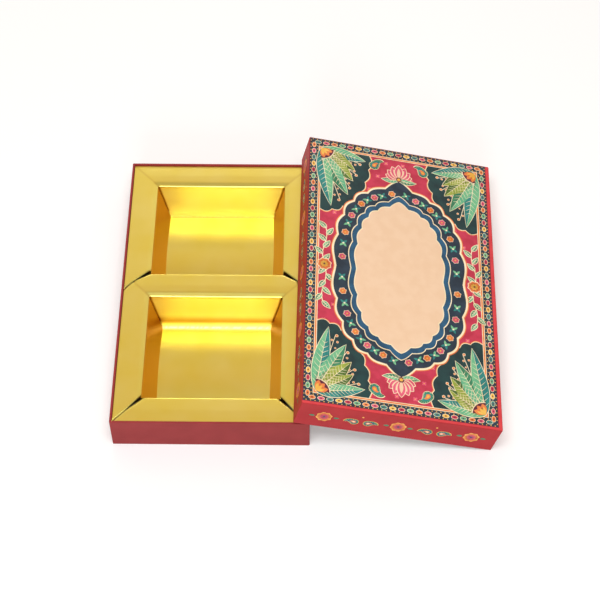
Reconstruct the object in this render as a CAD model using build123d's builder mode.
"""Rigid two-piece sweet box: base with two gold card trays, lid leaning on the base's long side.

Frame: millimetres, +Z up, +X to the right, +Y to the rear. The origin is the middle of the base's underside.
"""
from build123d import *
import os
from math import asin, cos, radians, sin

os.makedirs("parts", exist_ok=True)

# Lid and board, the sizes that the rest follows
lid_length = 254.0
lid_width = 152.0
lid_height = 28.6
base_height = 30.8
board = 1.2
wrap = 0.2
lining = 0.2
board_radius = 0.8
edge_round = 0.35

# Fit of the lid over the base and of the trays in the base
lid_clearance = 0.35
tray_clearance = 0.45
tray_seat_gap = 0.1

# Corner stays and turned-in paper
stay_leg = 18.0
stay_share = 0.5
stay_rim_gap = 2.0
base_turn_in = 16.0
lid_turn_in = 16.0

# How the lid leans: its right edge is on the table and its front wall is on the base's right front corner
lid_overhang = 12.55
lid_foot_y = -0.85
lid_yaw = -0.83
lean_clearance = 0.3

# Gold card trays
card = 0.45
rim_drop = 1.3
side_rim = 20.25
end_rim = 20.95
band_width = 20.8
band_shift = 1.7
well_taper = 9.4
rear_taper = 11.0
lip_width = 1.6
lip_rise = 0.25
ridge_share = 0.4
ridge_rise = 0.8
fold_width = 2.0
fold_rise = 0.1
fold_drop = 0.3
lip_depth = 2.0
skirt_depth = 10.0
slit = 1.8
hairline = 0.12
flap_reach = 11.0
overrun = 5.0

wall = wrap + board + lining
stay = wrap * stay_share
base_length = lid_length - 2 * (wall + lid_clearance)
base_width = lid_width - 2 * (wall + lid_clearance)

# The lid's own plane: its middle is the top panel's outside, and its normal points into the lid
# lid_overhang is how far its front wall reaches past the base's corner that it leans on
to_corner = lid_width - lid_overhang
lean = asin((base_height + lean_clearance) / to_corner)
sideways = (lid_foot_y + base_length / 2) * sin(radians(lid_yaw))
lid_foot_x = base_width / 2 + (to_corner * cos(lean) - sideways) / cos(radians(lid_yaw))
across = Vector(cos(lean) * cos(radians(lid_yaw)), cos(lean) * sin(radians(lid_yaw)), -sin(lean))
out_of_top = Vector(sin(lean) * cos(radians(lid_yaw)), sin(lean) * sin(radians(lid_yaw)), cos(lean))
lid_foot = Vector(lid_foot_x, lid_foot_y, 0)
lid_plane = Plane(
    origin=lid_foot - across * (lid_width / 2) + out_of_top * lid_height,
    x_dir=across,
    z_dir=out_of_top * -1,
)


def board_shell(plane, width, length, height):
    """Folded greyboard tray, one paper thickness inside the wrapped size all round."""
    with BuildPart() as shell:
        with BuildSketch(plane.offset(wrap)):
            RectangleRounded(width - 2 * wrap, length - 2 * wrap, board_radius)
        extrude(amount=height - 2 * wrap)
        with BuildSketch(plane.offset(wrap + board)):
            Rectangle(width - 2 * (wrap + board), length - 2 * (wrap + board))
        extrude(amount=height, mode=Mode.SUBTRACT)
    return shell.part


def corner_stay(plane, width, length, height, side_x, side_y):
    """Paper tape folded round one upright corner of the board."""
    board_width = width - 2 * wrap
    board_length = length - 2 * wrap
    with BuildPart() as tape:
        with BuildSketch(plane.offset(wrap + board)):
            RectangleRounded(board_width + 2 * stay, board_length + 2 * stay, board_radius + stay)
            RectangleRounded(board_width, board_length, board_radius, mode=Mode.SUBTRACT)
            with Locations((side_x * board_width / 2, side_y * board_length / 2)):
                Rectangle(2 * stay_leg, 2 * stay_leg, mode=Mode.INTERSECT)
        extrude(amount=height - 2 * wrap - board - stay_rim_gap)
    return tape.part


def paper_wrap(plane, width, length, height, turn_in, inner_pieces):
    """Printed sheet over the outside, folded over the rim and glued down inside."""
    inner_width = width - 2 * (wrap + board)
    inner_length = length - 2 * (wrap + board)
    with BuildPart() as sheet:
        with BuildSketch(plane):
            RectangleRounded(width, length, board_radius + wrap)
        extrude(amount=height)
        upright = Axis(plane.origin, plane.z_dir)
        fillet(sheet.faces().sort_by(upright)[0].edges(), radius=edge_round)
        fillet(sheet.faces().sort_by(upright)[-1].edges(), radius=edge_round)
        with BuildSketch(plane.offset(wrap + board)):
            Rectangle(inner_width, inner_length)
        extrude(amount=height - turn_in - wrap - board, mode=Mode.SUBTRACT)
        with BuildSketch(plane.offset(height - turn_in)):
            Rectangle(inner_width - 2 * wrap, inner_length - 2 * wrap)
        extrude(amount=height, mode=Mode.SUBTRACT)
        for piece in inner_pieces:
            add(piece, mode=Mode.SUBTRACT)
    return sheet.part


def paper_lining(plane, width, length, height, turn_in):
    """Plain paper over the inside bottom and up the walls to the turned-in edge."""
    inner_width = width - 2 * (wrap + board)
    inner_length = length - 2 * (wrap + board)
    with BuildPart() as sheet:
        with BuildSketch(plane.offset(wrap + board)):
            Rectangle(inner_width, inner_length)
        extrude(amount=height - turn_in - wrap - board)
        with BuildSketch(plane.offset(wrap + board + lining)):
            Rectangle(inner_width - 2 * lining, inner_length - 2 * lining)
        extrude(amount=height, mode=Mode.SUBTRACT)
    return sheet.part


def box_half(name, plane, width, length, height, turn_in):
    """Board, four corner stays, wrap and lining of one half of the box, each written as its own piece."""
    shell = board_shell(plane, width, length, height)
    corners = [(-1, -1), (1, -1), (1, 1), (-1, 1)]
    stays = [corner_stay(plane, width, length, height, side_x, side_y) for side_x, side_y in corners]
    sheet = paper_wrap(plane, width, length, height, turn_in, [shell] + stays)
    liner = paper_lining(plane, width, length, height, turn_in)
    pieces = {name + "_board": shell, name + "_wrap": sheet, name + "_lining": liner}
    for number, tape in enumerate(stays, start=1):
        pieces[f"{name}_stay_{number}"] = tape
    for label, piece in pieces.items():
        piece.label = label
        export_step(piece, f"parts/{label}.step")
    return pieces


base_half = box_half("base", Plane.XY, base_width, base_length, base_height, base_turn_in)
lid_half = box_half("lid", lid_plane, lid_width, lid_length, lid_height, lid_turn_in)

# Trays, in plan: the wells' edges, and the band between them
tray_half_width = base_width / 2 - wall - tray_clearance
tray_half_length = base_length / 2 - wall - tray_clearance
well_half = tray_half_width - side_rim
band_front = band_shift - band_width / 2
band_rear = band_shift + band_width / 2
front_edge = end_rim - tray_half_length
rear_edge = tray_half_length - end_rim
rim_top = base_height - rim_drop
floor_top = wall + tray_seat_gap + card


def rim_section(width, skirt):
    """Crowned rim from the well's edge outwards: rolled lip, ridge, outer fold and skirt."""
    ridge = width * ridge_share
    if skirt:
        outer = [
            (width - fold_width, fold_rise), (width, -fold_drop), (width, -skirt_depth),
            (width - card, -skirt_depth), (width - card, -fold_drop - card / 2),
            (width - fold_width, fold_rise - card),
        ]
    else:
        outer = [
            (width - lip_width, lip_rise), (width, 0), (width, -lip_depth),
            (width - card, -lip_depth), (width - card, -card), (width - lip_width, lip_rise - card),
        ]
        ridge = width / 2
    inner_top = [(0, -lip_depth), (0, 0), (lip_width, lip_rise), (ridge, ridge_rise)]
    inner_low = [(ridge, ridge_rise - card), (lip_width, lip_rise - card), (card, -card), (card, -lip_depth)]
    return inner_top + outer + inner_low


def rim_bar(start, outward, width, run, skirt, outline):
    """One folded side of a rim, cut to its mitred outline in plan."""
    section = Plane(origin=start, x_dir=outward, z_dir=Vector(*outward).cross(Vector(0, 0, 1)))
    with BuildPart() as bar:
        with BuildSketch(section):
            with BuildLine():
                Polyline(*rim_section(width, skirt), close=True)
            make_face()
        extrude(amount=run, both=True)
        with BuildSketch(Plane.XY):
            with BuildLine():
                Polyline(*outline, close=True)
            make_face()
        extrude(amount=base_height + overrun, mode=Mode.INTERSECT)
    return bar.part


def well(low, high):
    """Tapered card well with its floor, open at the top; the rear wall leans out more than the others."""
    floor_middle = (low + well_taper + high - rear_taper) / 2
    floor_length = high - rear_taper - low - well_taper
    with BuildPart() as bowl:
        for grow, bottom in ((card, floor_top - card), (0, floor_top)):
            with BuildSketch(Plane.XY.offset(bottom)):
                with Locations((0, floor_middle)):
                    Rectangle(2 * (well_half - well_taper + grow), floor_length + 2 * grow)
            with BuildSketch(Plane.XY.offset(rim_top)):
                with Locations((0, (low + high) / 2)):
                    Rectangle(2 * (well_half + grow), high - low + 2 * grow)
            loft(mode=Mode.ADD if grow else Mode.SUBTRACT)
    return bowl.part


def mitred(side, points):
    """Plan outline of a side piece, mirrored to the left or right."""
    return [(side * x, y) for x, y in points]


run = tray_half_length
edge = tray_half_width + overrun
crossing = well_half + band_width / 2
cross_y = band_shift
diagonal_end = band_rear - side_rim
slit_end_x = tray_half_width - fold_width
slit_end_y = fold_width * end_rim / side_rim - tray_half_length

# Front tray: front rim, two side rims and the band, clipped where the rear tray's side rims lie over it
front_bars = [
    rim_bar(
        (0, front_edge, rim_top), (0, -1, 0), end_rim, run, True,
        [
            (slit / 2 - well_half, front_edge), (well_half - slit / 2, front_edge),
            (slit_end_x, slit_end_y), (tray_half_width, -tray_half_length),
            (tray_half_width, -edge * 2), (-tray_half_width, -edge * 2),
            (-tray_half_width, -tray_half_length), (-slit_end_x, slit_end_y),
        ],
    ),
    rim_bar(
        (0, band_front, rim_top), (0, 1, 0), band_width, run, False,
        [
            (-well_half, band_front), (well_half, band_front), (crossing, cross_y),
            (well_half - slit, band_rear), (slit - well_half, band_rear), (-crossing, cross_y),
        ],
    ),
]
for side in (-1, 1):
    front_bars.append(
        rim_bar(
            (side * well_half, 0, rim_top), (side, 0, 0), side_rim, run, True,
            mitred(side, [
                (well_half, front_edge + slit / 2), (well_half, band_front - hairline),
                (crossing, cross_y - hairline), (tray_half_width, diagonal_end - hairline),
                (edge, diagonal_end - hairline), (edge, -tray_half_length),
                (tray_half_width, -tray_half_length), (slit_end_x, slit_end_y),
            ]),
        )
    )
front_bowl = well(front_edge, band_front)
with BuildPart() as front_tray:
    add(front_bowl)
    for bar in front_bars:
        add(bar)

# Rear tray: rear rim, two side rims over the front tray's corners, and a flap tucked under the band
rear_bars = [
    rim_bar(
        (0, rear_edge, rim_top), (0, 1, 0), end_rim, run, True,
        [
            (-well_half, rear_edge), (well_half, rear_edge), (tray_half_width, tray_half_length),
            (tray_half_width, edge * 2), (-tray_half_width, edge * 2), (-tray_half_width, tray_half_length),
        ],
    ),
]
for side in (-1, 1):
    rear_bars.append(
        rim_bar(
            (side * well_half, 0, rim_top), (side, 0, 0), side_rim, run, True,
            mitred(side, [
                (well_half, rear_edge), (well_half, band_rear + hairline),
                (crossing, cross_y + hairline), (tray_half_width, diagonal_end + hairline),
                (edge, diagonal_end + hairline), (edge, tray_half_length),
                (tray_half_width, tray_half_length),
            ]),
        )
    )
rear_bowl = well(band_rear, rear_edge)
flap_top = rim_top - lip_depth - card
slope_share = well_taper / (rim_top - floor_top)
flap_end = band_rear + slope_share * (rim_top - flap_top) - card / 4
with BuildPart() as rear_tray:
    add(rear_bowl)
    with BuildSketch(Plane.XY.offset(flap_top)):
        with Locations((0, band_rear)):
            Rectangle(2 * well_half - slit, 2 * lip_depth)
    extrude(amount=base_height, mode=Mode.SUBTRACT)
    for bar in rear_bars:
        add(bar)
    with BuildSketch(Plane.XY.offset(flap_top)):
        with Locations((0, flap_end - flap_reach / 2)):
            Rectangle(2 * (well_half - well_taper), flap_reach)
    extrude(amount=-card)

for tray, label in ((front_tray, "front_tray"), (rear_tray, "rear_tray")):
    tray.part.label = label
    export_step(tray.part, f"parts/{label}.step")
